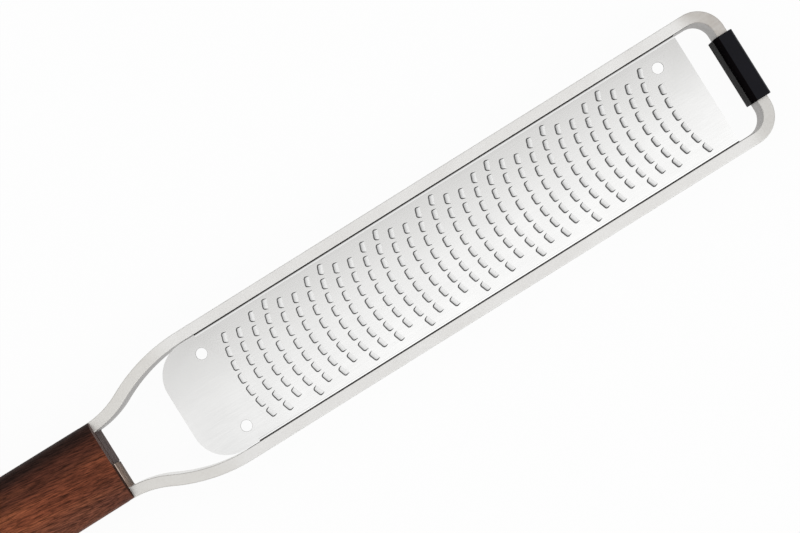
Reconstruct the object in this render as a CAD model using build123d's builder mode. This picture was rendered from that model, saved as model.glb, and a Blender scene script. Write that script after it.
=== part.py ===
"""Rasp zester: a flat-bar frame, an etched blade, a rubber foot and a walnut handle.

Millimetres. +X points from the handle to the tip, +Y to the left of it, and +Z out of the
toothed face. The origin is under the middle of the tool, on the surface that it rests on.
"""
from build123d import *
import math
import os

os.makedirs("parts", exist_ok=True)

# Frame: one flat bar on edge, bent into a loop
bar_thickness = 3.0
bar_height = 12.0
bar_edge_radius = 0.25
frame_width = 38.0
frame_length = 190.7            # front of the handle to the outer face of the end bar
tip_corner_radius = 7.8
neck_hollow_radius = 22.9       # outer edge of the bend beside the handle
neck_shoulder_radius = 46.2     # outer edge of the bend where the rails begin
crossbar_corner_radius = 1.8
crossbar_proud = 0.1            # the crossbar stands this far out of the wood
seam_width = 0.25
seam_depth = 0.3
seam_offset = 1.1

# Blade: etched sheet, folded into a channel
sheet = 0.4
fold_radius = 0.75
flange_depth = 7.0
blade_fit = 0.03
end_gap = 9.2                   # between the blade and the end bar
flange_relief = 3.85            # from the end of the neck's bend to the flanges
tongue_length = 13.5
tongue_inset = 0.2
tongue_corner_radius = 9.2
hole_diameter = 3.0
tongue_hole_reach = 12.7        # from the tongue's end
tongue_hole_spacing = 21.6
tip_hole_reach = 7.8            # from the blade's tip end
tip_hole_offset = 10.9

# Teeth: C-shaped slits whose tabs are bent up, in bowed columns
column_pitch = 4.165
tooth_pitch = 3.86
column_radius = 36.9
first_column_reach = 17.4       # from the tongue's end to the first column's crown
last_column_reach = 10.8        # from the blade's tip end, at least
tooth_edge_reach = 2.7          # from the blade's side to a tooth's middle, at least
column_phase_shares = (0, 1 / 4, -1 / 4, 1 / 2)
tooth_width = 2.7
tooth_depth = 1.4
slit = 0.3
tooth_rise = 0.42
tooth_hole_distance = 4.0       # no tooth is nearer than this to a locating hole's centre

# Foot: rubber sleeve around the end bar
sleeve_length = 19.1
sleeve_wall = 1.1
sleeve_fit = 0.05
sleeve_edge_radius = 1.5

# Handle: walnut, let in at its front for the crossbar
handle_length = 133.0
handle_front_width = 22.5
handle_butt_width = 23.6
lip_height = 3.5                # wood above the bar at the front
handle_crown = 1.2              # rise of the top line over its ends
handle_corner_radius = 8.0
handle_edge_radius = 4.0
handle_belly_radius = 3.0
handle_front_edge_radius = 0.4
rebate_fit = 0.05

# Tang: steel rod inside the handle
tang_diameter = 6.0
tang_length = 60.0
tang_chamfer = 0.8
tang_fit = 0.1
tang_bore_spare = 2.0

# Lengths and heights that follow
total_length = handle_length + frame_length + sleeve_wall + sleeve_fit
front_x = handle_length - total_length / 2
butt_x = front_x - handle_length
end_x = front_x + frame_length
bar_bottom = sleeve_wall + sleeve_fit
bar_top = bar_bottom + bar_height
bar_middle = bar_bottom + bar_height / 2
crossbar_front_x = front_x + crossbar_proud
crossbar_back_x = crossbar_front_x - bar_thickness
neck_step = (frame_width - handle_front_width) / 2
neck_angle = math.acos(1 - neck_step / (neck_hollow_radius + neck_shoulder_radius))
neck_run = (neck_hollow_radius + neck_shoulder_radius) * math.sin(neck_angle)
rail_start_x = crossbar_back_x + crossbar_corner_radius + neck_run
blade_tip_x = end_x - bar_thickness - end_gap
flange_start_x = rail_start_x + flange_relief
tongue_end_x = flange_start_x - tongue_length
flange_length = blade_tip_x - flange_start_x
blade_width = frame_width - 2 * (bar_thickness + blade_fit)
handle_top = bar_top + lip_height

# Frame
with BuildPart() as frame_loop:
    with BuildSketch(Plane.XY.offset(bar_bottom)):
        with BuildLine():
            turn = math.degrees(neck_angle)
            back = Line(
                (crossbar_back_x, 0),
                (crossbar_back_x, handle_front_width / 2 - crossbar_corner_radius),
            )
            turned_in = JernArc(back @ 1, back % 1, crossbar_corner_radius, -90)
            hollow = JernArc(turned_in @ 1, turned_in % 1, neck_hollow_radius, turn)
            shoulder = JernArc(hollow @ 1, hollow % 1, neck_shoulder_radius, -turn)
            rail = Line(shoulder @ 1, (end_x - tip_corner_radius, frame_width / 2))
            tip_corner = JernArc(rail @ 1, rail % 1, tip_corner_radius, -90)
            Line(tip_corner @ 1, (end_x, 0))
            mirror(about=Plane.XZ)
        make_face()
        offset(amount=-bar_thickness, kind=Kind.INTERSECTION, mode=Mode.SUBTRACT)
    extrude(amount=bar_height)
    fillet(frame_loop.faces().sort_by(Axis.Z)[-1].edges(), bar_edge_radius)
    fillet(frame_loop.faces().sort_by(Axis.Z)[0].edges(), bar_edge_radius)
    # the bar's two ends meet in a seam on the crossbar
    with BuildSketch(Plane.XY.offset(bar_bottom)):
        with Locations((crossbar_front_x, -seam_offset)):
            Rectangle(2 * seam_depth, seam_width)
    extrude(amount=bar_height, mode=Mode.SUBTRACT)
frame_loop.part.label = "frame_loop"
export_step(frame_loop.part, "parts/frame_loop.step")

# Places of the locating holes and the teeth on the blade's top
tongue_hole_x = tongue_end_x + tongue_hole_reach
hole_places = [
    (tongue_hole_x, tongue_hole_spacing / 2),
    (tongue_hole_x, -tongue_hole_spacing / 2),
    (blade_tip_x - tip_hole_reach, tip_hole_offset),
]


def tooth_places():
    """Each tooth's place and turn. A column bows towards the handle about a centre on its
    tip side, its teeth open towards that centre, and one column in four has a tooth more."""
    step = tooth_pitch / column_radius
    stagger = max(column_phase_shares)
    half_span = math.asin((blade_width / 2 - tooth_edge_reach) / column_radius)
    half_count = int(half_span / step - stagger)
    crowns_span = blade_tip_x - last_column_reach - tongue_end_x - first_column_reach
    places = []
    for column in range(int(crowns_span / column_pitch) + 1):
        crown_x = tongue_end_x + first_column_reach + column * column_pitch
        phase = column_phase_shares[column % len(column_phase_shares)]
        first = phase - half_count - (phase == stagger)
        count = 2 * half_count + 1 + (phase == stagger)
        for index in range(count):
            angle = (first + index) * step
            x = crown_x + column_radius * (1 - math.cos(angle))
            y = -column_radius * math.sin(angle)
            if min(math.dist((x, y), hole) for hole in hole_places) > tooth_hole_distance:
                places.append(Location((x, y, bar_top), (0, 0, math.degrees(angle))))
    return places


# One tab: its root is on the tip side, and its free edge is bent up
with BuildPart() as tab:
    with BuildSketch(Plane.XZ):
        with BuildLine():
            Polyline(
                (slit, tooth_rise),
                (tooth_depth, 0),
                (tooth_depth, -sheet),
                (slit, tooth_rise - sheet),
                close=True,
            )
        make_face()
    extrude(amount=tooth_width / 2 - slit, both=True)

# Blade: the flat top with its holes and slits, the two folded flanges, then the tabs
with BuildPart() as blade:
    with BuildSketch(Plane.XY.offset(bar_top)) as flat:
        with Locations((flange_start_x, 0)):
            Rectangle(tongue_length, blade_width - 2 * tongue_inset, align=(Align.MAX, Align.CENTER))
        fillet(flat.vertices().group_by(Axis.X)[0], tongue_corner_radius)
        with Locations((flange_start_x, 0)):
            Rectangle(flange_length, blade_width - 2 * fold_radius, align=(Align.MIN, Align.CENTER))
        with Locations(*hole_places):
            Circle(hole_diameter / 2, mode=Mode.SUBTRACT)
        with Locations(*tooth_places()):
            Rectangle(tooth_depth, tooth_width, align=(Align.MIN, Align.CENTER), mode=Mode.SUBTRACT)
    extrude(amount=-sheet)
    with BuildSketch(Plane.YZ.offset(flange_start_x)) as folds:
        with Locations((0, bar_top)):
            Rectangle(blade_width, flange_depth, align=(Align.CENTER, Align.MAX))
        fillet(folds.vertices().group_by(Axis.Y)[-1], fold_radius)
        with BuildSketch(mode=Mode.SUBTRACT) as channel:
            with Locations((0, bar_top - sheet)):
                Rectangle(blade_width - 2 * sheet, flange_depth, align=(Align.CENTER, Align.MAX))
            fillet(channel.vertices().group_by(Axis.Y)[-1], fold_radius - sheet)
        with Locations((0, bar_top)):
            Rectangle(
                blade_width - 2 * fold_radius,
                flange_depth,
                align=(Align.CENTER, Align.MAX),
                mode=Mode.SUBTRACT,
            )
    extrude(amount=flange_length)
    with Locations(*tooth_places()):
        add(tab.part)
blade.part.label = "blade"
export_step(blade.part, "parts/blade.step")

# Foot
with BuildPart() as foot_sleeve:
    with BuildSketch(Plane.XZ):
        with Locations((end_x - bar_thickness / 2, bar_middle)):
            RectangleRounded(
                bar_thickness + 2 * (sleeve_fit + sleeve_wall),
                bar_height + 2 * (sleeve_fit + sleeve_wall),
                sleeve_edge_radius,
            )
            Rectangle(bar_thickness + 2 * sleeve_fit, bar_height + 2 * sleeve_fit, mode=Mode.SUBTRACT)
    extrude(amount=sleeve_length / 2, both=True)
foot_sleeve.part.label = "foot_sleeve"
export_step(foot_sleeve.part, "parts/foot_sleeve.step")

# Tang, welded to the back of the crossbar
with BuildPart() as handle_tang:
    with BuildSketch(Plane.YZ.offset(crossbar_back_x)):
        with Locations((0, bar_middle)):
            Circle(tang_diameter / 2)
    extrude(amount=-tang_length)
    chamfer(handle_tang.faces().sort_by(Axis.X)[0].edges(), tang_chamfer)
handle_tang.part.label = "handle_tang"
export_step(handle_tang.part, "parts/handle_tang.step")

# Handle: the plan and the side outline meet, then the long edges are rounded
with BuildPart() as handle:
    with BuildSketch(Plane.XY) as plan:
        with BuildLine():
            Polyline(
                (front_x, handle_front_width / 2),
                (butt_x, handle_butt_width / 2),
                (butt_x, -handle_butt_width / 2),
                (front_x, -handle_front_width / 2),
                close=True,
            )
        make_face()
        fillet(plan.vertices().group_by(Axis.X)[0], handle_corner_radius)
    extrude(amount=2 * handle_top, both=True)
    with BuildSketch(Plane.XZ):
        with BuildLine():
            middle_x = (front_x + butt_x) / 2
            crown = ThreePointArc(
                (front_x, handle_top), (middle_x, handle_top + handle_crown), (butt_x, handle_top)
            )
            butt = Line(crown @ 1, (butt_x, bar_bottom))
            belly = ThreePointArc(butt @ 1, (middle_x, 0), (front_x, bar_bottom))
            Line(belly @ 1, crown @ 0)
        make_face()
    extrude(amount=handle_butt_width + handle_front_width, both=True, mode=Mode.INTERSECT)
    fillet(handle.faces().sort_by(Axis.Z)[-1].edges().sort_by(Axis.X)[:-1], handle_edge_radius)
    fillet(handle.faces().sort_by(Axis.Z)[0].edges().sort_by(Axis.X)[:-1], handle_belly_radius)
    fillet(handle.faces().sort_by(Axis.X)[-1].edges(), handle_front_edge_radius)
    # rebate under the front lip for the crossbar, and the tang's bore
    with BuildSketch(Plane.XZ):
        with Locations((crossbar_back_x - rebate_fit, bar_top + rebate_fit)):
            Rectangle(2 * bar_thickness, 2 * bar_height, align=(Align.MIN, Align.MAX))
    extrude(amount=handle_front_width, both=True, mode=Mode.SUBTRACT)
    with BuildSketch(Plane.YZ.offset(crossbar_back_x)):
        with Locations((0, bar_middle)):
            Circle(tang_diameter / 2 + tang_fit)
    extrude(amount=-tang_length - tang_bore_spare, mode=Mode.SUBTRACT)
handle.part.label = "handle"
export_step(handle.part, "parts/handle.step")
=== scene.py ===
"""Rasp zester: a bent steel bar frame, an etched blade with raised teeth, a rubber foot and a
walnut handle. Metres, +X from the handle to the tip, +Z out of the toothed face."""
import math

import bmesh
import bpy
from mathutils import Matrix, Vector


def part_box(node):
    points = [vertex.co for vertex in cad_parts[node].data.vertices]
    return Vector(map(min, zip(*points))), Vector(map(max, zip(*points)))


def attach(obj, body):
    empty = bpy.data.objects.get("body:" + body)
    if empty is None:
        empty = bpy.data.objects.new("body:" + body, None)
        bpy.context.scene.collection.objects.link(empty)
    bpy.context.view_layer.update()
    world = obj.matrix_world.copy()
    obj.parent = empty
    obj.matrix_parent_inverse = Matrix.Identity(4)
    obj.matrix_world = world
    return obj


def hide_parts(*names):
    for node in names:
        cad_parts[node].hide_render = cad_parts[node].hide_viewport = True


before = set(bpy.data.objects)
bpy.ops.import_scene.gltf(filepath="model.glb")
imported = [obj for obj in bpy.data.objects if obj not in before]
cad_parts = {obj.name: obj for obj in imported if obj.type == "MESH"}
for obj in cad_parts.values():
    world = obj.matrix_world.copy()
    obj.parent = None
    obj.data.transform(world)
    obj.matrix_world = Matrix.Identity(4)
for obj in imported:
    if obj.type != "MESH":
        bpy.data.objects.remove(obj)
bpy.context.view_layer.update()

# Frame loop. One stainless flat bar stands on edge and is bent into a closed loop, with two
# S-shaped necks. Its ends butt in a seam on the crossbar, which carries the handle. The edges
# are brushed bright, the flat sides are coloured darker as painted shade, and the crossbar's
# face is coloured brown as painted shade.
loop_low, loop_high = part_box("frame_loop")
bar_thickness = 0.003
bar_edge_radius = 0.0003
crossbar_corner_radius = 0.0018
neck_front_half_width = 0.01125
neck_hollow_radius = 0.0229
neck_shoulder_radius = 0.0462
tip_corner_radius = 0.0078
seam_y = -0.0011
seam_width = 0.00025
seam_depth = 0.0003
neck_steps = 14
corner_steps = 24
edge_limit = math.radians(35)
same_place = 0.000001
rail_half_width = loop_high.y
bar_height = loop_high.z - loop_low.z
bar_middle_z = (loop_low.z + loop_high.z) / 2
neck_step = rail_half_width - neck_front_half_width
neck_angle = math.acos(1 - neck_step / (neck_hollow_radius + neck_shoulder_radius))
neck_start_x = loop_low.x + crossbar_corner_radius
rail_start_x = neck_start_x + (neck_hollow_radius + neck_shoulder_radius) * math.sin(neck_angle)
crossbar_front_x = loop_low.x + bar_thickness


def start_piece(name, add, **sizes):
    """Adds a primitive at its place, with its object at the origin, and opens it for editing."""
    bpy.ops.object.select_all(action="DESELECT")
    add(**sizes)
    piece = bpy.context.object
    piece.name = name
    piece.data.name = name
    bpy.ops.object.transform_apply(location=True, rotation=True, scale=True)
    bpy.ops.object.mode_set(mode="EDIT")
    bpy.ops.mesh.select_mode(type="VERT")
    bpy.ops.mesh.select_all(action="SELECT")
    return piece


def start_box(name, middle, size):
    """A box round its middle."""
    return start_piece(name, bpy.ops.mesh.primitive_cube_add, size=1, location=middle, scale=size)


def start_outline(name, x, y, z):
    """A plane merged to one vertex, from which an outline is drawn."""
    add = bpy.ops.mesh.primitive_plane_add
    piece = start_piece(name, add, size=bar_thickness, location=(x, y, z))
    bpy.ops.mesh.merge(type="CENTER")
    return piece


def pen(piece):
    """Where the outline has come to."""
    return next(v.co.copy() for v in bmesh.from_edit_mesh(piece.data).verts if v.select)


def line_to(piece, x, y):
    """Draws the outline straight on to a point."""
    start = pen(piece)
    step = Vector((x, y, start.z)) - start
    bpy.ops.mesh.extrude_vertices_move(TRANSFORM_OT_translate={"value": step})


def bend(piece, x, y, angle, steps):
    """Draws the outline on round a centre, anticlockwise seen from above."""
    centre = (x, y, pen(piece).z)
    bpy.ops.mesh.spin(steps=steps, angle=angle, center=centre, axis=(0, 0, -1))


def fill_outline():
    """Closes the outline with one face."""
    bpy.ops.mesh.select_all(action="SELECT")
    bpy.ops.mesh.edge_face_add()


def extrude_up(height):
    """Extrudes the selected faces straight up."""
    bpy.ops.mesh.extrude_region_move(TRANSFORM_OT_translate={"value": (0, 0, height)})


def pick(piece, kind, test):
    """Selects the vertices, edges or faces whose middle and self pass the test."""
    bpy.ops.mesh.select_mode(type=kind)
    bpy.ops.mesh.select_all(action="DESELECT")
    mesh = bmesh.from_edit_mesh(piece.data)
    mesh.normal_update()
    for part in {"VERT": mesh.verts, "EDGE": mesh.edges, "FACE": mesh.faces}[kind]:
        corners = [part] if kind == "VERT" else list(part.verts)
        middle = sum((corner.co for corner in corners), Vector()) / len(corners)
        if test(middle, part):
            part.select_set(True)
    mesh.select_flush_mode()
    bmesh.update_edit_mesh(piece.data)


def close_edit(piece):
    """Leaves edit mode with the faces pointing outwards."""
    bpy.ops.mesh.select_mode(type="FACE")
    bpy.ops.mesh.select_all(action="SELECT")
    bpy.ops.mesh.normals_make_consistent(inside=False)
    bpy.ops.object.mode_set(mode="OBJECT")


def activate(pieces):
    """Selects the pieces alone, and makes the first of them active."""
    bpy.ops.object.select_all(action="DESELECT")
    for piece in pieces:
        piece.select_set(True)
    bpy.context.view_layer.objects.active = pieces[0]


def modify(piece, kind, **settings):
    """Adds one modifier and applies it."""
    modifier = piece.modifiers.new(kind.lower(), kind)
    for name, value in settings.items():
        setattr(modifier, name, value)
    activate([piece])
    bpy.ops.object.modifier_apply(modifier=modifier.name)


def mirror(piece):
    """Adds the other half, across the tool's middle plane."""
    modify(piece, "MIRROR", use_axis=(False, True, False), merge_threshold=same_place)


def round_edges(piece, radius, steps, limit):
    """Rounds all edges that turn by more than the limit."""
    modify(piece, "BEVEL", width=radius, segments=steps, limit_method="ANGLE", angle_limit=limit)


def cut(piece, cutter):
    """Cuts one solid out of another. The cut faces keep the cutter's finish."""
    modify(
        piece,
        "BOOLEAN",
        operation="DIFFERENCE",
        object=cutter,
        solver="EXACT",
        material_mode="TRANSFER",
    )
    bpy.data.objects.remove(cutter)


def smooth(piece):
    """Smooth shading, sharp at the real corners, with the flat faces kept flat."""
    activate([piece])
    bpy.ops.object.shade_smooth_by_angle(angle=edge_limit)
    modify(piece, "WEIGHTED_NORMAL", keep_sharp=True)


neck_back_y = neck_front_half_width - crossbar_corner_radius
hollow_centre_y = neck_front_half_width + neck_hollow_radius
shoulder_centre_y = rail_half_width - neck_shoulder_radius
tip_centre_x = loop_high.x - tip_corner_radius
tip_centre_y = rail_half_width - tip_corner_radius
inner_hollow_radius = neck_hollow_radius + bar_thickness
inner_start_angle = math.asin((crossbar_front_x - neck_start_x) / inner_hollow_radius)
frame_loop = start_outline("steel_frame", loop_low.x, 0, loop_low.z)
line_to(frame_loop, loop_low.x, neck_back_y)
bend(frame_loop, neck_start_x, neck_back_y, -math.pi / 2, corner_steps // 3)
bend(frame_loop, neck_start_x, hollow_centre_y, neck_angle, neck_steps)
bend(frame_loop, rail_start_x, shoulder_centre_y, -neck_angle, neck_steps)
line_to(frame_loop, tip_centre_x, rail_half_width)
bend(frame_loop, tip_centre_x, tip_centre_y, -math.pi / 2, corner_steps)
line_to(frame_loop, loop_high.x, 0)
line_to(frame_loop, loop_high.x - bar_thickness, 0)
line_to(frame_loop, loop_high.x - bar_thickness, tip_centre_y)
bend(frame_loop, tip_centre_x, tip_centre_y, math.pi / 2, corner_steps)
line_to(frame_loop, rail_start_x, rail_half_width - bar_thickness)
bend(frame_loop, rail_start_x, shoulder_centre_y, neck_angle, neck_steps)
bend(frame_loop, neck_start_x, hollow_centre_y, inner_start_angle - neck_angle, neck_steps)
line_to(frame_loop, crossbar_front_x, 0)
fill_outline()
extrude_up(bar_height)
pick(frame_loop, "FACE", lambda middle, face: abs(middle.y) < same_place)
bpy.ops.mesh.delete(type="FACE")
close_edit(frame_loop)
mirror(frame_loop)
round_edges(frame_loop, bar_edge_radius, steps=4, limit=edge_limit)


def new_material(name):
    """An empty node material and its shader."""
    material = bpy.data.materials.new(name)
    material.use_nodes = True
    return material, material.node_tree.nodes["Principled BSDF"]


def node(material, kind, links=(), **settings):
    """Adds a node, sets its properties, and links or sets its inputs by number or name."""
    made = material.node_tree.nodes.new(kind)
    for name, value in settings.items():
        setattr(made, name, value)
    for socket, source in dict(links).items():
        if isinstance(source, bpy.types.NodeSocket):
            material.node_tree.links.new(source, made.inputs[socket])
        else:
            made.inputs[socket].default_value = source
    return made


def place(material, scale=(1, 1, 1), turn=0.0):
    """The piece's own coordinates, turned in plan and then stretched."""
    own = node(material, "ShaderNodeTexCoord").outputs["Object"]
    turned = node(material, "ShaderNodeMapping", {"Vector": own, "Rotation": (0, 0, -turn)})
    links = {"Vector": turned.outputs[0], "Scale": scale}
    return node(material, "ShaderNodeMapping", links).outputs[0]


def noise(material, scale, detail=3.0, rough=0.6, stretch=(1, 1, 1), turn=0.0):
    """Noise on the piece's own coordinates. Its long way lies at the turn's angle to the tool."""
    where = place(material, stretch, turn)
    links = {"Vector": where, "Scale": scale, "Detail": detail, "Roughness": rough}
    return node(material, "ShaderNodeTexNoise", links).outputs["Fac"]


def ramp(material, factor, stops, smooth_steps=False):
    """Colours or greys along a factor."""
    made = node(material, "ShaderNodeValToRGB", {"Fac": factor})
    if smooth_steps:
        made.color_ramp.interpolation = "EASE"
    while len(made.color_ramp.elements) < len(stops):
        made.color_ramp.elements.new(0.5)
    for element, (position, colour) in zip(made.color_ramp.elements, stops):
        element.position = position
        element.color = (*colour, 1) if isinstance(colour, tuple) else (colour, colour, colour, 1)
    return made.outputs["Color"]


mix_factor, mix_first, mix_second, mix_result = 0, 6, 7, 2


def mix(material, factor, first, second, blend="MIX"):
    """Mixes two colours."""
    made = material.node_tree.nodes.new("ShaderNodeMix")
    made.data_type = "RGBA"
    made.blend_type = blend
    for socket, source in ((mix_factor, factor), (mix_first, first), (mix_second, second)):
        if isinstance(source, bpy.types.NodeSocket):
            material.node_tree.links.new(source, made.inputs[socket])
        elif socket == mix_factor:
            made.inputs[socket].default_value = source
        else:
            made.inputs[socket].default_value = (*source, 1)
    return made.outputs[mix_result]


def math_node(material, operation, *numbers):
    """One sum on numbers."""
    return node(material, "ShaderNodeMath", enumerate(numbers), operation=operation).outputs[0]


def bump(material, shader, height, strength, distance):
    """Adds relief to a shader."""
    links = {"Height": height, "Strength": strength, "Distance": distance}
    made = node(material, "ShaderNodeBump", links)
    material.node_tree.links.new(made.outputs[0], shader.inputs["Normal"])


def join_up(material, shader, socket, source):
    """Links a node's output to one of the shader's inputs."""
    material.node_tree.links.new(source, shader.inputs[socket])


def axis_value(material, axis):
    """One of the piece's own coordinates, in metres."""
    return node(material, "ShaderNodeSeparateXYZ", {0: place(material)}).outputs[axis]


def fade(material, value, start, end):
    """Rises from 0 to 1 as a value goes from start to end."""
    links = {"Value": value, "From Min": start, "From Max": end}
    return node(material, "ShaderNodeMapRange", links, interpolation_type="SMOOTHSTEP").outputs[0]


pattern_low, pattern_high = 0.3, 0.7


def finish_by(material, shader, pattern, dark, light, rough_low, rough_high):
    """Colour and roughness from a pattern. Its dark parts are the rough ones."""
    colour = ramp(material, pattern, [(pattern_low, dark), (pattern_high, light)])
    roughness = ramp(material, pattern, [(pattern_low, rough_high), (pattern_high, rough_low)])
    join_up(material, shader, "Base Color", colour)
    join_up(material, shader, "Roughness", roughness)


def steel(name, dark, light, rough_low, rough_high, line_scale, line_stretch, relief):
    """Stainless steel with brush lines and cloudy patches."""
    material, shader = new_material(name)
    shader.inputs["Metallic"].default_value = 1.0
    lines = noise(material, line_scale, detail=4, rough=0.65, stretch=line_stretch)
    clouds = noise(material, 90, detail=3, rough=0.55)
    both = mix(material, 0.5, lines, clouds)
    finish_by(material, shader, both, dark, light, rough_low, rough_high)
    bump(material, shader, lines, strength=relief, distance=0.00002)
    return material


def tone_down(material, share, shade):
    """Tones a steel down to a shade of its colour where the share is 1."""
    shader = material.node_tree.nodes["Principled BSDF"]
    colour = shader.inputs["Base Color"].links[0].from_socket
    darker = mix(material, 1.0, colour, shade, "MULTIPLY")
    join_up(material, shader, "Base Color", mix(material, share, colour, darker))


def coat(piece, *finishes):
    """Gives a piece its finishes. All its faces start with the first."""
    for finish in finishes:
        piece.data.materials.append(finish)


def coat_face(piece, face, finish):
    """Gives one face another of the piece's finishes."""
    face.material_index = piece.data.materials.find(finish.name)


brush_stretch = (0.06, 1, 1)
edge_steel = steel(
    "frame_edge_steel",
    dark=(0.84, 0.825, 0.805),
    light=(0.93, 0.925, 0.91),
    rough_low=0.34,
    rough_high=0.48,
    line_scale=1600,
    line_stretch=(1, 1, 1),
    relief=0.2,
)
# the bar's edge is coloured darker round the tip as painted shade, and darker still in streaks
# at its upper corner as painted shade. It is a little darker on the necks
tip_painted_shade = (0.84, 0.835, 0.82)
corner_painted_shade = (0.76, 0.725, 0.7)
neck_shade = (0.9, 0.89, 0.87)
edge_x = axis_value(edge_steel, "X")
edge_y = axis_value(edge_steel, "Y")
tip_share = fade(edge_steel, edge_x, tip_centre_x - bar_thickness, tip_centre_x + bar_thickness)
corner_share = fade(edge_steel, edge_y, -tip_centre_y, tip_centre_y)
corner_share = math_node(edge_steel, "MULTIPLY", tip_share, corner_share)
streak_noise = noise(edge_steel, 330, detail=4, rough=0.6, stretch=(0.35, 1, 1))
streaks = ramp(edge_steel, streak_noise, [(0.38, 0.35), (0.62, 1.0)])
corner_share = math_node(edge_steel, "MULTIPLY", corner_share, streaks)
neck_share = fade(edge_steel, edge_x, rail_start_x, rail_start_x - neck_front_half_width)
tone_down(edge_steel, tip_share, tip_painted_shade)
tone_down(edge_steel, corner_share, corner_painted_shade)
tone_down(edge_steel, neck_share, neck_shade)
side_painted_shade = steel(
    "frame_side_painted_shade",
    dark=(0.3, 0.29, 0.28),
    light=(0.44, 0.43, 0.42),
    rough_low=0.42,
    rough_high=0.56,
    line_scale=2200,
    line_stretch=brush_stretch,
    relief=0.3,
)
# one leg of the neck has its inner wall coloured lighter than the other's, as painted light
neck_painted_light = steel(
    "neck_wall_painted_light",
    dark=(0.7, 0.69, 0.67),
    light=(0.84, 0.83, 0.81),
    rough_low=0.26,
    rough_high=0.38,
    line_scale=2200,
    line_stretch=brush_stretch,
    relief=0.15,
)
# the narrow grooves between the rails and the blade are coloured dark as painted shade
groove_painted_shade = steel(
    "groove_painted_shade",
    dark=(0.13, 0.122, 0.118),
    light=(0.27, 0.26, 0.25),
    rough_low=0.5,
    rough_high=0.65,
    line_scale=2200,
    line_stretch=brush_stretch,
    relief=0.3,
)

# the crossbar's face is coloured brown as painted shade, darker on one side of the seam. The
# other side is coloured paler towards the top as painted light, and a painted highlight along
# its upper edge shows as a light line
tint_low, tint_high = 0.35, 0.65
deep_brown = [(tint_low, (0.045, 0.026, 0.023)), (tint_high, (0.105, 0.064, 0.056))]
pale_brown = [(tint_low, (0.07, 0.05, 0.038)), (tint_high, (0.23, 0.17, 0.13))]
top_painted_light = (1.9, 1.75, 1.7)
painted_highlight_colour = (0.95, 0.8, 0.7)
highlight_start_y, highlight_full_y = -0.0078, -0.0042
highlight_low_z, highlight_high_z = loop_high.z - 0.0006, loop_high.z - 0.0003
crossbar_painted_shade, tint_shader = new_material("crossbar_face_painted_shade")
tint_shader.inputs["Metallic"].default_value = 0.25
tint_shader.inputs["Specular IOR Level"].default_value = 0.06
tint_cloud = noise(crossbar_painted_shade, 700, detail=5, rough=0.7, stretch=(1, 0.6, 1))
tint_y = axis_value(crossbar_painted_shade, "Y")
tint_z = axis_value(crossbar_painted_shade, "Z")
tint_left = ramp(crossbar_painted_shade, tint_cloud, deep_brown)
tint_right = ramp(crossbar_painted_shade, tint_cloud, pale_brown)
tint_paler = mix(crossbar_painted_shade, 1.0, tint_right, top_painted_light, "MULTIPLY")
top_share = fade(crossbar_painted_shade, tint_z, loop_low.z, loop_high.z)
tint_right = mix(crossbar_painted_shade, top_share, tint_right, tint_paler)
line_along = fade(crossbar_painted_shade, tint_y, highlight_start_y, highlight_full_y)
line_across = fade(crossbar_painted_shade, tint_z, highlight_low_z, highlight_high_z)
highlight_share = math_node(crossbar_painted_shade, "MULTIPLY", line_along, line_across)
tint_right = mix(crossbar_painted_shade, highlight_share, tint_right, painted_highlight_colour)
left_share = math_node(crossbar_painted_shade, "GREATER_THAN", tint_y, seam_y)
tint_rough = ramp(crossbar_painted_shade, tint_cloud, [(pattern_low, 0.68), (pattern_high, 0.55)])
join_up(crossbar_painted_shade, tint_shader, "Base Color", mix(crossbar_painted_shade, left_share, tint_right, tint_left))
join_up(crossbar_painted_shade, tint_shader, "Roughness", tint_rough)
bump(crossbar_painted_shade, tint_shader, tint_cloud, strength=0.35, distance=0.00003)

# a tilt is the share of a face's normal that lies along one axis
crossbar_tilt = 0.1
groove_edge_tilt = 0.7
side_tilt = 0.4
tongue_length = 0.0135
blade_low, blade_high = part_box("blade")
flange_start_x = blade_low.x + tongue_length
crossbar_inner_half = neck_front_half_width - bar_thickness
coat(frame_loop, edge_steel, side_painted_shade, crossbar_painted_shade, groove_painted_shade, neck_painted_light)
# the crossbar's face takes its painted shade, the bar's sloped edges beside the blade the groove's
# painted shade, and the upright walls the sides' painted shade, with painted light on one neck
# leg's inner wall
for face in frame_loop.data.polygons:
    middle = face.center
    near_crossbar = abs(middle.x - crossbar_front_x) < 2 * bar_edge_radius
    beside_blade = flange_start_x < middle.x < blade_high.x and middle.y * face.normal.y < 0
    light_leg = crossbar_front_x < middle.x < rail_start_x and middle.y < 0 < face.normal.y
    if near_crossbar and abs(middle.y) < crossbar_inner_half and face.normal.x > crossbar_tilt:
        coat_face(frame_loop, face, crossbar_painted_shade)
    elif beside_blade and 0 < face.normal.z < groove_edge_tilt:
        coat_face(frame_loop, face, groove_painted_shade)
    elif abs(face.normal.z) < side_tilt:
        coat_face(frame_loop, face, neck_painted_light if light_leg else side_painted_shade)

seam_cutter = start_box(
    "seam_cutter",
    (crossbar_front_x, seam_y, bar_middle_z),
    (2 * seam_depth, seam_width, 2 * bar_height),
)
close_edit(seam_cutter)
coat(seam_cutter, crossbar_painted_shade)
cut(frame_loop, seam_cutter)
smooth(frame_loop)
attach(frame_loop, "root")
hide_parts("frame_loop")

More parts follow.
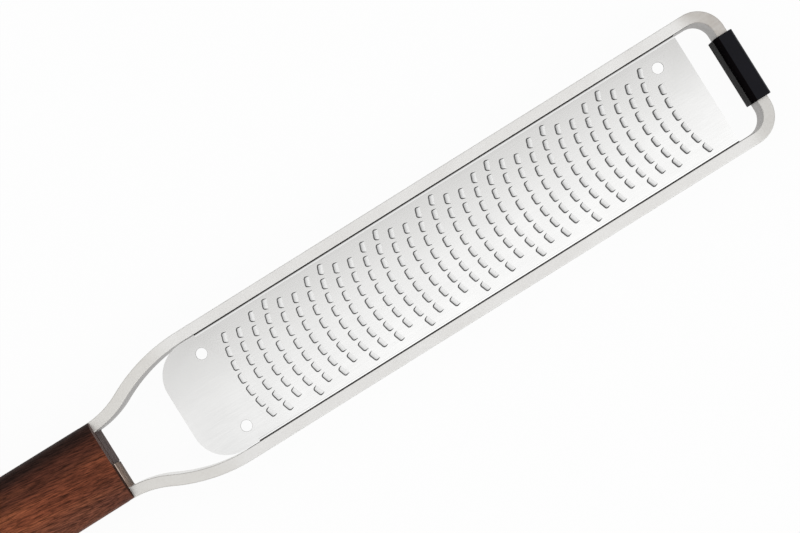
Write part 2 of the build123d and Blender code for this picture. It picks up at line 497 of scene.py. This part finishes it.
# Blade. One etched stainless sheet, folded into a shallow channel between the rails, with a
# round-cornered tongue towards the handle. Three round holes located it while it was made.
sheet = 0.0004
fold_radius = 0.00075
flange_depth = 0.007
tongue_inset = 0.0002
tongue_corner_radius = 0.0092
tongue_hole_reach = 0.0127
tongue_hole_offset = 0.0108
tip_hole_reach = 0.0078
tip_hole_offset = 0.0109
hole_radius = 0.0015
hole_chamfer = 0.0001
fold_steps = 6
hole_steps = 48
flat_tilt = 0.9
flange_tilt = 0.85
blade_half_width = blade_high.y
blade_top = loop_high.z
tongue_half_width = blade_half_width - tongue_inset
tongue_corner_y = tongue_half_width - tongue_corner_radius
flat_half_width = blade_half_width - fold_radius
hole_places = [
    (blade_low.x + tongue_hole_reach, tongue_hole_offset),
    (blade_low.x + tongue_hole_reach, -tongue_hole_offset),
    (blade_high.x - tip_hole_reach, tip_hole_offset),
]


def close_sheet(piece):
    """Leaves edit mode with an open sheet's faces pointing up."""
    close_edit(piece)
    if piece.data.polygons[0].normal.z < 0:
        piece.data.flip_normals()


def is_fold_edge(middle, edge):
    """Whether an edge is the one along which the flange is folded down."""
    return middle.x > flange_start_x + sheet and abs(middle.y - flat_half_width) < same_place


def stretch(x_share, y_share, centre):
    """Scales what is selected in plan, about a centre."""
    bpy.ops.transform.resize(value=(x_share, y_share, 1), center_override=centre)


blade = start_outline("etched_blade", blade_low.x, 0, blade_top)
line_to(blade, blade_low.x, tongue_corner_y)
bend(blade, blade_low.x + tongue_corner_radius, tongue_corner_y, -math.pi / 2, corner_steps)
line_to(blade, flange_start_x, tongue_half_width)
line_to(blade, flange_start_x, flat_half_width)
line_to(blade, blade_high.x, flat_half_width)
line_to(blade, blade_high.x, 0)
fill_outline()
pick(blade, "EDGE", is_fold_edge)
bpy.ops.mesh.spin(
    steps=fold_steps,
    angle=math.pi / 2,
    center=(0, flat_half_width, blade_top - fold_radius),
    axis=(1, 0, 0),
)
flange_step = (0, 0, fold_radius - flange_depth)
bpy.ops.mesh.extrude_edges_move(TRANSFORM_OT_translate={"value": flange_step})
close_sheet(blade)
mirror(blade)
modify(blade, "SOLIDIFY", thickness=sheet, offset=-1, use_even_offset=True)

blade_steel = steel(
    "blade_steel",
    dark=(0.9, 0.9, 0.895),
    light=(0.95, 0.95, 0.945),
    rough_low=0.11,
    rough_high=0.14,
    line_scale=2600,
    line_stretch=brush_stretch,
    relief=0.05,
)
coat(blade, blade_steel, groove_painted_shade)
# the folds' faces that face the rails take the groove's painted shade
for face in blade.data.polygons:
    faces_rail = face.normal.y * face.center.y > 0 and abs(face.normal.y) > flange_tilt
    if faces_rail and face.center.x > flange_start_x:
        coat_face(blade, face, groove_painted_shade)

hole_cutters = []
for hole_x, hole_y in hole_places:
    hole_cutter = start_piece(
        "hole_cutter",
        bpy.ops.mesh.primitive_cylinder_add,
        vertices=hole_steps,
        radius=hole_radius,
        depth=2 * sheet,
        location=(hole_x, hole_y, blade_top - sheet - hole_chamfer / 2),
    )
    pick(hole_cutter, "FACE", lambda middle, face: face.normal.z > flat_tilt)
    extrude_up(hole_chamfer)
    rim_share = 1 + hole_chamfer / hole_radius
    stretch(rim_share, rim_share, (hole_x, hole_y, blade_top))
    close_edit(hole_cutter)
    # the holes' walls take the sides' painted shade
    coat(hole_cutter, side_painted_shade)
    hole_cutters.append(hole_cutter)

# Teeth. Each is a tab that an etched C-shaped slit frees on three sides, bent up at its free
# edge. They stand in bowed columns, and one column in four has a tooth more.
tooth_width = 0.0027
tooth_depth = 0.0014
tooth_rise = 0.00042
tooth_corner_radius = 0.0006
slit = 0.0003
slit_wall_slant = 0.00033
slit_rim_chamfer = 0.00005
cutter_spare = 0.00008
column_pitch = 0.004165
tooth_pitch = 0.00386
column_radius = 0.0369
first_column_reach = 0.0174
last_column_reach = 0.0108
tooth_edge_reach = 0.0027
tooth_hole_distance = 0.004
column_phase_shares = (0, 1 / 4, -1 / 4, 1 / 2)


def run(edge, axis):
    """How far an edge runs along an axis."""
    start, end = edge.verts
    return abs(getattr(start.co, axis) - getattr(end.co, axis))


def is_slit_corner(middle, edge):
    """Whether an edge is one of the two upright corners at the tooth's free edge."""
    return middle.x < cutter_spare and abs(middle.y) > slit and run(edge, "z") > slit


window = start_box(
    "window_cutter",
    (tooth_depth / 2, 0, -(sheet + cutter_spare + slit_rim_chamfer) / 2),
    (tooth_depth, tooth_width, sheet + cutter_spare - slit_rim_chamfer),
)
tooth_root = (tooth_depth, 0, 0)
pick(window, "EDGE", is_slit_corner)
bpy.ops.mesh.bevel(offset=tooth_corner_radius, segments=4, affect="EDGES")
pick(window, "VERT", lambda middle, vert: middle.z < -sheet)
stretch(1 - slit_wall_slant / tooth_depth, 1 - 2 * slit_wall_slant / tooth_width, tooth_root)
pick(window, "FACE", lambda middle, face: face.normal.z > flat_tilt)
extrude_up(2 * slit_rim_chamfer)
stretch(1 + 2 * slit_rim_chamfer / tooth_depth, 1 + 4 * slit_rim_chamfer / tooth_width, tooth_root)
close_edit(window)

# the slit's walls are etched rough, and coloured dark as painted shade
slit_painted_shade, slit_shader = new_material("etched_slit_painted_shade")
slit_shader.inputs["Metallic"].default_value = 0.6
slit_grain = noise(slit_painted_shade, 3500, detail=3, rough=0.6)
finish_by(
    slit_painted_shade, slit_shader, slit_grain, dark=0.15, light=0.28, rough_low=0.5, rough_high=0.65
)
bump(slit_painted_shade, slit_shader, slit_grain, strength=0.4, distance=0.00002)
coat(window, slit_painted_shade)

# the tab: strips from its root to its free edge, each narrower and steeper than the last, and
# a little less glossy than the flat sheet
tab_side_clearance = 0.00003
tab_thinning = 0.00004
tab_corner_share = 0.9
tab_strip_shares = (0.22, 0.26, 0.27, 0.25)
tab_rise_shares = (0.06, 0.19, 0.34, 0.41)
tab_length = tooth_depth - slit
tab_root_half = tooth_width / 2 - tab_side_clearance
tab_free_half = tooth_width / 2 - slit
tab = start_piece(
    "tab",
    bpy.ops.mesh.primitive_plane_add,
    size=slit,
    location=(tooth_depth + slit / 2, 0, 0),
)
stretch(1, 2 * tab_root_half / slit, (0, 0, 0))
pick(tab, "VERT", lambda middle, vert: middle.x > tooth_depth + slit / 2)
bpy.ops.mesh.delete(type="VERT")
bpy.ops.mesh.select_mode(type="EDGE")
bpy.ops.mesh.select_all(action="SELECT")
tab_half = tab_root_half
for strip_share, rise_share in zip(tab_strip_shares, tab_rise_shares):
    strip_step = (-strip_share * tab_length, 0, rise_share * tooth_rise)
    bpy.ops.mesh.extrude_edges_move(TRANSFORM_OT_translate={"value": strip_step})
    narrower = tab_half - strip_share * (tab_root_half - tab_free_half)
    stretch(1, narrower / tab_half, (0, 0, 0))
    tab_half = narrower
pick(tab, "VERT", lambda middle, vert: middle.x < slit + cutter_spare)
bpy.ops.mesh.bevel(offset=tab_corner_share * slit, segments=3, affect="VERTICES")
close_sheet(tab)
tab_steel = steel(
    "tooth_steel",
    dark=(0.9, 0.9, 0.895),
    light=(0.95, 0.95, 0.945),
    rough_low=0.28,
    rough_high=0.34,
    line_scale=2600,
    line_stretch=brush_stretch,
    relief=0.05,
)
# the tab's rims take the slit's painted shade
coat(tab, tab_steel, slit_painted_shade)
modify(tab, "SOLIDIFY", thickness=sheet - tab_thinning, offset=-1, material_offset_rim=1)


def tooth_places():
    """Each tooth's place and turn, as in the solids."""
    step = tooth_pitch / column_radius
    stagger = max(column_phase_shares)
    half_span = math.asin((blade_half_width - tooth_edge_reach) / column_radius)
    half_count = int(half_span / step - stagger)
    crowns_span = blade_high.x - last_column_reach - blade_low.x - first_column_reach
    places = []
    for column in range(int(crowns_span / column_pitch) + 1):
        crown_x = blade_low.x + first_column_reach + column * column_pitch
        phase = column_phase_shares[column % len(column_phase_shares)]
        first = phase - half_count - (phase == stagger)
        for index in range(2 * half_count + 1 + (phase == stagger)):
            angle = (first + index) * step
            x = crown_x + column_radius * (1 - math.cos(angle))
            y = -column_radius * math.sin(angle)
            if min(math.dist((x, y), hole) for hole in hole_places) > tooth_hole_distance:
                turn = Matrix.Rotation(angle, 4, "Z")
                places.append(Matrix.Translation((x, y, blade_top)) @ turn)
    return places


def copies(pattern, places):
    """Copies of one piece, each with its own mesh, moved to their places. The pattern goes."""
    made = []
    for number, where in enumerate(places):
        copy = bpy.data.objects.new(f"{pattern.name}_{number}", pattern.data.copy())
        copy.data.transform(where)
        bpy.context.scene.collection.objects.link(copy)
        made.append(copy)
    bpy.data.objects.remove(pattern)
    return made


def join(pieces):
    """Joins pieces into the first of them."""
    activate(pieces)
    bpy.ops.object.join()
    return pieces[0]


teeth = tooth_places()
cut(blade, join(copies(window, teeth)))
cut(blade, join(hole_cutters))
blade = join([blade, *copies(tab, teeth)])
smooth(blade)
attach(blade, "root")
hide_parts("blade")

# Foot. A moulded black rubber sleeve is pushed over the middle of the end bar, so that the tip
# doesn't slip on a board.
foot_low, foot_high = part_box("foot_sleeve")
foot_wall = 0.0011
foot_edge_radius = 0.0015
foot_rim_radius = 0.00015
foot_rim_limit = math.radians(60)
foot_band_height = 0.004
foot_band_z = foot_high.z - foot_band_height
foot = start_box("rubber_foot", (foot_low + foot_high) / 2, foot_high - foot_low)
pick(foot, "EDGE", lambda middle, edge: run(edge, "y") > foot_wall)
bpy.ops.mesh.bevel(offset=foot_edge_radius, segments=8, affect="EDGES")
pick(foot, "FACE", lambda middle, face: abs(face.normal.y) > flat_tilt)
bpy.ops.mesh.inset(thickness=foot_wall, use_individual=True)
bpy.ops.mesh.bridge_edge_loops()
bpy.ops.mesh.select_all(action="SELECT")
bpy.ops.mesh.bisect(plane_co=(0, 0, foot_band_z), plane_no=(0, 0, 1))
close_edit(foot)
round_edges(foot, foot_rim_radius, steps=2, limit=foot_rim_limit)


def rubber(name, dark, light, rough_low, rough_high, gloss):
    """Black rubber with a fine moulded grain and faint cloudy patches."""
    material, shader = new_material(name)
    fine = noise(material, 2500, detail=3, rough=0.6)
    clouds = noise(material, 160, detail=2, rough=0.5)
    both = mix(material, 0.5, fine, clouds)
    finish_by(material, shader, both, dark, light, rough_low, rough_high)
    shader.inputs["Specular IOR Level"].default_value = gloss
    bump(material, shader, fine, strength=0.25, distance=0.00004)
    return material


# the flat top and the outer edges are a little glossy, the upright sides are matt, and the
# rounded edges towards the blade, with a band under the upper one, have no gloss, so that they
# show black as painted shade
glossy_rubber = rubber(
    "black_rubber",
    dark=(0.002, 0.002, 0.0045),
    light=(0.0045, 0.0045, 0.009),
    rough_low=0.34,
    rough_high=0.46,
    gloss=0.16,
)
matt_rubber = rubber(
    "matt_black_rubber",
    dark=(0.004, 0.0037, 0.0035),
    light=(0.009, 0.0082, 0.008),
    rough_low=0.55,
    rough_high=0.7,
    gloss=0.03,
)
edge_rubber_painted_shade = rubber(
    "black_rubber_painted_shade",
    dark=(0.0025, 0.002, 0.0023),
    light=(0.006, 0.0048, 0.0056),
    rough_low=0.5,
    rough_high=0.6,
    gloss=0.0,
)
upright_tilt = 0.05
top_tilt = 0.96
coat(foot, glossy_rubber, matt_rubber, edge_rubber_painted_shade)
# the glossless rubber goes on the rounded edges towards the blade and the band, as painted shade
for face in foot.data.polygons:
    tilt = abs(face.normal.z)
    in_band = tilt > upright_tilt or face.center.z > foot_band_z
    if face.normal.x < -upright_tilt and tilt < top_tilt and in_band:
        coat_face(foot, face, edge_rubber_painted_shade)
    elif tilt < upright_tilt:
        coat_face(foot, face, matt_rubber)
smooth(foot)
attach(foot, "root")
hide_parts("foot_sleeve")

# Handle. Shaped from one piece of walnut, oiled, with rounded long edges and a crowned back.
# It is let in at its front for the crossbar and bored for the tang.
wood_low, wood_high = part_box("handle")
handle_butt_half = 0.0118
handle_corner_radius = 0.008
handle_edge_radius = 0.004
handle_belly_radius = 0.003
handle_front_edge_radius = 0.0002
handle_crown = 0.0012
lip_height = 0.0035
rebate_fit = 0.00005
tang_radius = 0.003
tang_fit = 0.0001
bore_depth = 0.062
front_margin = 0.00002
long_edge_tilt = 0.7
end_grain_tilt = 0.5
slices = 24
bore_steps = 48
handle_front_half = neck_front_half_width
belly_rise = loop_low.z
handle_top = loop_high.z + lip_height
handle_length = wood_high.x - wood_low.x
handle_middle_x = wood_low.x + handle_length / 2
handle_middle_z = (handle_top + belly_rise) / 2
butt_end_x = wood_low.x + handle_crown
handle = start_box(
    "walnut_handle",
    (handle_middle_x, 0, handle_middle_z),
    (handle_length, 2 * handle_front_half, handle_top - belly_rise),
)
pick(handle, "VERT", lambda middle, vert: middle.x < butt_end_x)
stretch(1, handle_butt_half / handle_front_half, (0, 0, 0))
pick(
    handle,
    "EDGE",
    lambda middle, edge: middle.x < butt_end_x and run(edge, "z") > handle_crown,
)
bpy.ops.mesh.bevel(offset=handle_corner_radius, segments=10, affect="EDGES")
for number in range(1, slices):
    slice_x = wood_low.x + handle_length * number / slices
    bpy.ops.mesh.select_all(action="SELECT")
    bpy.ops.mesh.bisect(plane_co=(slice_x, 0, 0), plane_no=(1, 0, 0))


def bow(x, rise):
    """Height of a shallow arc over its ends."""
    radius = ((handle_length / 2) ** 2 + rise**2) / (2 * rise)
    return math.sqrt(radius**2 - (x - handle_middle_x) ** 2) - (radius - rise)


def lift_slice(x, is_upper, rise):
    """Moves the upper or the lower points of one slice up."""

    def in_slice(middle, vert):
        return abs(middle.x - x) < 2 * same_place and (middle.z > handle_middle_z) == is_upper

    pick(handle, "VERT", in_slice)
    bpy.ops.transform.translate(value=(0, 0, rise))


def is_front_edge(middle, edge):
    """Whether an edge runs round the front face."""
    tilts = [face.normal.x for face in edge.link_faces]
    at_front = middle.x > wood_high.x - front_margin
    return at_front and len(tilts) == 2 and max(tilts) > flat_tilt > min(tilts)


for x in sorted({round(v.co.x, 6) for v in bmesh.from_edit_mesh(handle.data).verts}):
    lift_slice(x, True, bow(x, handle_crown))
    lift_slice(x, False, -bow(x, belly_rise))
for is_top, radius in ((True, handle_edge_radius), (False, handle_belly_radius)):
    pick(
        handle,
        "EDGE",
        lambda middle, edge: (middle.z > handle_top - handle_crown) == is_top
        and len(edge.link_faces) == 2
        and abs(edge.link_faces[0].normal.z - edge.link_faces[1].normal.z) > long_edge_tilt
        and middle.x < wood_high.x - front_margin,
    )
    bpy.ops.mesh.bevel(offset=radius, segments=8, affect="EDGES")
pick(handle, "EDGE", is_front_edge)
bpy.ops.mesh.bevel(offset=handle_front_edge_radius, segments=3, affect="EDGES")
close_edit(handle)

walnut, walnut_shader = new_material("oiled_walnut")
grain_turn = math.radians(-8)
grain = noise(walnut, 300, detail=6, rough=0.62, stretch=(0.08, 1, 0.6), turn=grain_turn)
figure = noise(walnut, 75, detail=3, rough=0.5, stretch=(0.35, 1, 0.6), turn=grain_turn)
fibre = noise(walnut, 3600, detail=4, rough=0.7, stretch=(0.06, 1, 1), turn=grain_turn)
pores = noise(walnut, 4500, detail=2, rough=0.5, stretch=(0.09, 1, 1), turn=grain_turn)
walnut_colours = [
    (0.34, (0.095, 0.028, 0.015)),
    (0.5, (0.19, 0.053, 0.025)),
    (0.64, (0.29, 0.088, 0.038)),
]
wood_colour = ramp(walnut, mix(walnut, 0.45, grain, figure), walnut_colours)

# one upper long edge is coloured darker as painted shade, deepening towards the edge, and
# the other side is coloured a little greyer as a painted sheen
painted_sheen_colour = (0.095, 0.041, 0.03)
painted_shade_colour = (0.045, 0.015, 0.01)
deep_shade_colour = (0.026, 0.011, 0.008)
sheen_strength = 0.6
shade_strength = 0.72
sheen_start_y, sheen_full_y = -0.002, -0.009
shade_start_y, shade_full_y = 0.0005, 0.0045
deep_shade_start_y, deep_shade_full_y = 0.0062, 0.0092
shade_low_z, shade_high_z = wood_high.z - 0.0095, wood_high.z - 0.0055
wood_y = axis_value(walnut, "Y")
upper_share = fade(walnut, axis_value(walnut, "Z"), shade_low_z, shade_high_z)
sheen_share = fade(walnut, wood_y, sheen_start_y, sheen_full_y)
sheen_share = math_node(walnut, "MULTIPLY", sheen_share, sheen_strength)
shade_share = fade(walnut, wood_y, shade_start_y, shade_full_y)
shade_share = math_node(walnut, "MULTIPLY", shade_share, shade_strength)
shade_share = math_node(walnut, "MULTIPLY", shade_share, upper_share)
deep_shade_share = fade(walnut, wood_y, deep_shade_start_y, deep_shade_full_y)
deep_shade_share = math_node(walnut, "MULTIPLY", deep_shade_share, upper_share)
# the painted sheen, the painted shade, and the deeper painted shade at the edge
wood_colour = mix(walnut, sheen_share, wood_colour, painted_sheen_colour)
wood_colour = mix(walnut, shade_share, wood_colour, painted_shade_colour)
wood_colour = mix(walnut, deep_shade_share, wood_colour, deep_shade_colour)
fibre_shade = ramp(walnut, fibre, [(0.38, 0.42), (0.62, 1.7)])
pore_shade = ramp(walnut, pores, [(0.36, 0.5), (0.44, 1.0)])
wood_colour = mix(walnut, 1.0, wood_colour, fibre_shade, "MULTIPLY")
wood_colour = mix(walnut, 1.0, wood_colour, pore_shade, "MULTIPLY")
wood_rough = ramp(walnut, fibre, [(pattern_low, 0.58), (pattern_high, 0.46)])
join_up(walnut, walnut_shader, "Base Color", wood_colour)
join_up(walnut, walnut_shader, "Roughness", wood_rough)
walnut_shader.inputs["Specular IOR Level"].default_value = 0.07
wood_relief = mix(walnut, 0.5, fibre, pore_shade)
bump(walnut, walnut_shader, wood_relief, strength=0.3, distance=0.00008)
coat(handle, walnut)

# the rebate's cutter stands well out of the wood in front, below and on both sides
rebate = start_box(
    "rebate_cutter",
    (crossbar_front_x + bar_thickness - rebate_fit, 0, rebate_fit),
    (4 * bar_thickness, 4 * handle_front_half, 2 * loop_high.z),
)
close_edit(rebate)
coat(rebate, walnut)
cut(handle, rebate)
bore = start_piece(
    "bore_cutter",
    bpy.ops.mesh.primitive_cylinder_add,
    vertices=bore_steps,
    radius=tang_radius + tang_fit,
    depth=2 * bore_depth,
    location=(loop_low.x, 0, bar_middle_z),
    rotation=(0, math.pi / 2, 0),
)
close_edit(bore)
coat(bore, walnut)
cut(handle, bore)

# the end grain above the crossbar is dry and dark, and on one side of the seam it is coloured
# greyer and lighter as painted light
end_low, end_high = 0.35, 0.65
end_dark_colours = [(end_low, (0.03, 0.015, 0.011)), (end_high, (0.08, 0.036, 0.025))]
end_lit_colours = [(end_low, (0.12, 0.085, 0.078)), (end_high, (0.22, 0.165, 0.15))]
end_grain, end_shader = new_material("walnut_end_grain")
end_pores = noise(end_grain, 3500, detail=3, rough=0.6)
end_dark = ramp(end_grain, end_pores, end_dark_colours)
end_lit = ramp(end_grain, end_pores, end_lit_colours)
end_rough = ramp(end_grain, end_pores, [(pattern_low, 0.9), (pattern_high, 0.75)])
lit_share = fade(end_grain, axis_value(end_grain, "Y"), 2 * seam_y, 0)
join_up(end_grain, end_shader, "Base Color", mix(end_grain, lit_share, end_dark, end_lit))
join_up(end_grain, end_shader, "Roughness", end_rough)
end_shader.inputs["Specular IOR Level"].default_value = 0.02
bump(end_grain, end_shader, end_pores, strength=0.3, distance=0.00005)
coat(handle, end_grain)
for face in handle.data.polygons:
    if face.normal.x > end_grain_tilt and face.center.x > wood_high.x - handle_crown:
        coat_face(handle, face, end_grain)
smooth(handle)
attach(handle, "root")
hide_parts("handle")

# Tang. A plain steel rod, welded to the back of the crossbar and glued into the handle. The wood
# hides it, so it keeps its own solid and is only given its steel.
tang_steel = steel(
    "tang_steel",
    dark=(0.4, 0.4, 0.39),
    light=(0.58, 0.58, 0.57),
    rough_low=0.4,
    rough_high=0.55,
    line_scale=900,
    line_stretch=(0.2, 1, 1),
    relief=0.2,
)
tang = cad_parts["handle_tang"]
tang.data.materials.clear()
coat(tang, tang_steel)

# Floor. A plain pale sheet under the tool, white to the eye, that keeps a faint shadow. It is
# there for the picture only, and isn't a piece of the tool.
floor_size = 6.0
floor_glow_share = 0.95
bpy.ops.object.select_all(action="DESELECT")
bpy.ops.mesh.primitive_plane_add(size=floor_size)
floor = bpy.context.object
floor.name = "floor"
paper, paper_shader = new_material("pale_floor")
paper_tones = ramp(paper, noise(paper, 30), [(pattern_low, 0.93), (pattern_high, 0.96)])
join_up(paper, paper_shader, "Base Color", paper_tones)
paper_shader.inputs["Roughness"].default_value = 0.9
paper_shader.inputs["Specular IOR Level"].default_value = 0.0
rays = node(paper, "ShaderNodeLightPath").outputs
seen = math_node(paper, "MAXIMUM", rays["Is Camera Ray"], rays["Is Glossy Ray"])
seen = math_node(paper, "MAXIMUM", seen, rays["Is Transmission Ray"])
glow_share = math_node(paper, "MULTIPLY", seen, floor_glow_share)
glow = node(paper, "ShaderNodeEmission", {"Color": (1, 1, 1, 1), "Strength": 1.0})
links = {0: glow_share, 1: paper_shader.outputs[0], 2: glow.outputs[0]}
shown = node(paper, "ShaderNodeMixShader", links)
join_up(paper, paper.node_tree.nodes["Material Output"], "Surface", shown.outputs[0])
coat(floor, paper)

# Camera. It looks straight down on the toothed face from 0.6 m, turned so that the tip points up
# to the right. It stands a little to one side of the middle of the picture.
camera_x, camera_y, camera_height = 0.0589, -0.012, 0.597
view_middle_x, view_middle_y = 0.0589, 0.00286
camera_turn = math.radians(-32)
camera_lens = 105.6
camera_sensor = 36
camera_data = bpy.data.cameras.new("camera")
camera = bpy.data.objects.new("camera", camera_data)
bpy.context.scene.collection.objects.link(camera)
camera.location = (camera_x, camera_y, loop_high.z + camera_height)
camera.rotation_euler = (0, 0, camera_turn)
camera_data.lens = camera_lens
camera_data.sensor_width = camera_sensor
view_width = camera_height * camera_sensor / camera_lens
view_offset = Vector((view_middle_x - camera_x, view_middle_y - camera_y))
view_offset.rotate(Matrix.Rotation(-camera_turn, 2))
camera_data.shift_x = view_offset.x / view_width
camera_data.shift_y = view_offset.y / view_width
bpy.context.scene.camera = camera

# Light. A plain studio: a white sky, a little greyer on one side, with one soft lamp there. The
# flat steel mirrors a bright band and a narrow dark strip overhead, and the blade's tongue
# mirrors the edge of a small grey card beside them.
lamp_place = Vector((0.35, -0.9, 0.8))
lamp_size = 1.2
lamp_power = 2
grey_side = [(0.0, 0.85), (0.36, 0.74), (0.45, 0.8)]
bright_band = [(0.485, 1.12), (0.508, 1.12)]
dark_strip = [(0.527, (0.37, 0.36, 0.345))]
white_side = [(0.545, 0.85), (0.575, 1.0), (0.64, 1.0), (0.74, 0.8), (1.0, 0.85)]
sky_heights = [(0.0, 0.3), (0.75, 1.0)]
card_grey = (0.54, 0.54, 0.54)
card_near_start, card_near_full = -0.068, -0.094
card_far_start, card_far_full = -0.2, -0.14
card_side_start, card_side_full = 0.501, 0.489
world = bpy.data.worlds.new("studio")
bpy.context.scene.world = world
world.use_nodes = True
sky = world.node_tree.nodes["Background"]
direction = node(world, "ShaderNodeTexCoord").outputs["Generated"]
sky_axes = node(world, "ShaderNodeSeparateXYZ", {0: direction}).outputs
screen_share = math_node(world, "MULTIPLY_ADD", sky_axes["Y"], 0.5, 0.5)
screen = ramp(world, screen_share, grey_side + bright_band + dark_strip + white_side)
card_near = fade(world, sky_axes["X"], card_near_start, card_near_full)
card_far = fade(world, sky_axes["X"], card_far_start, card_far_full)
card_side = fade(world, screen_share, card_side_start, card_side_full)
card = math_node(world, "MULTIPLY", card_near, card_far)
card = math_node(world, "MULTIPLY", card, card_side)
screen = mix(world, card, screen, card_grey)
overhead = ramp(world, sky_axes["Z"], sky_heights, smooth_steps=True)
sky_colour = mix(world, 1.0, screen, overhead, "MULTIPLY")
sky_rays = node(world, "ShaderNodeLightPath").outputs
sky_shown = mix(world, sky_rays["Is Camera Ray"], sky_colour, (1.0, 1.0, 1.0))
join_up(world, sky, "Color", sky_shown)
sky.inputs["Strength"].default_value = 1.0
bpy.ops.object.light_add(type="AREA", location=lamp_place)
lamp = bpy.context.object
lamp.name = "side_lamp"
lamp.data.size = lamp_size
lamp.data.energy = lamp_power
lamp_aim = Vector((camera_x, 0, 0)) - lamp_place
lamp.rotation_euler = lamp_aim.to_track_quat("-Z", "Y").to_euler()
bpy.context.scene.view_settings.view_transform = "Standard"
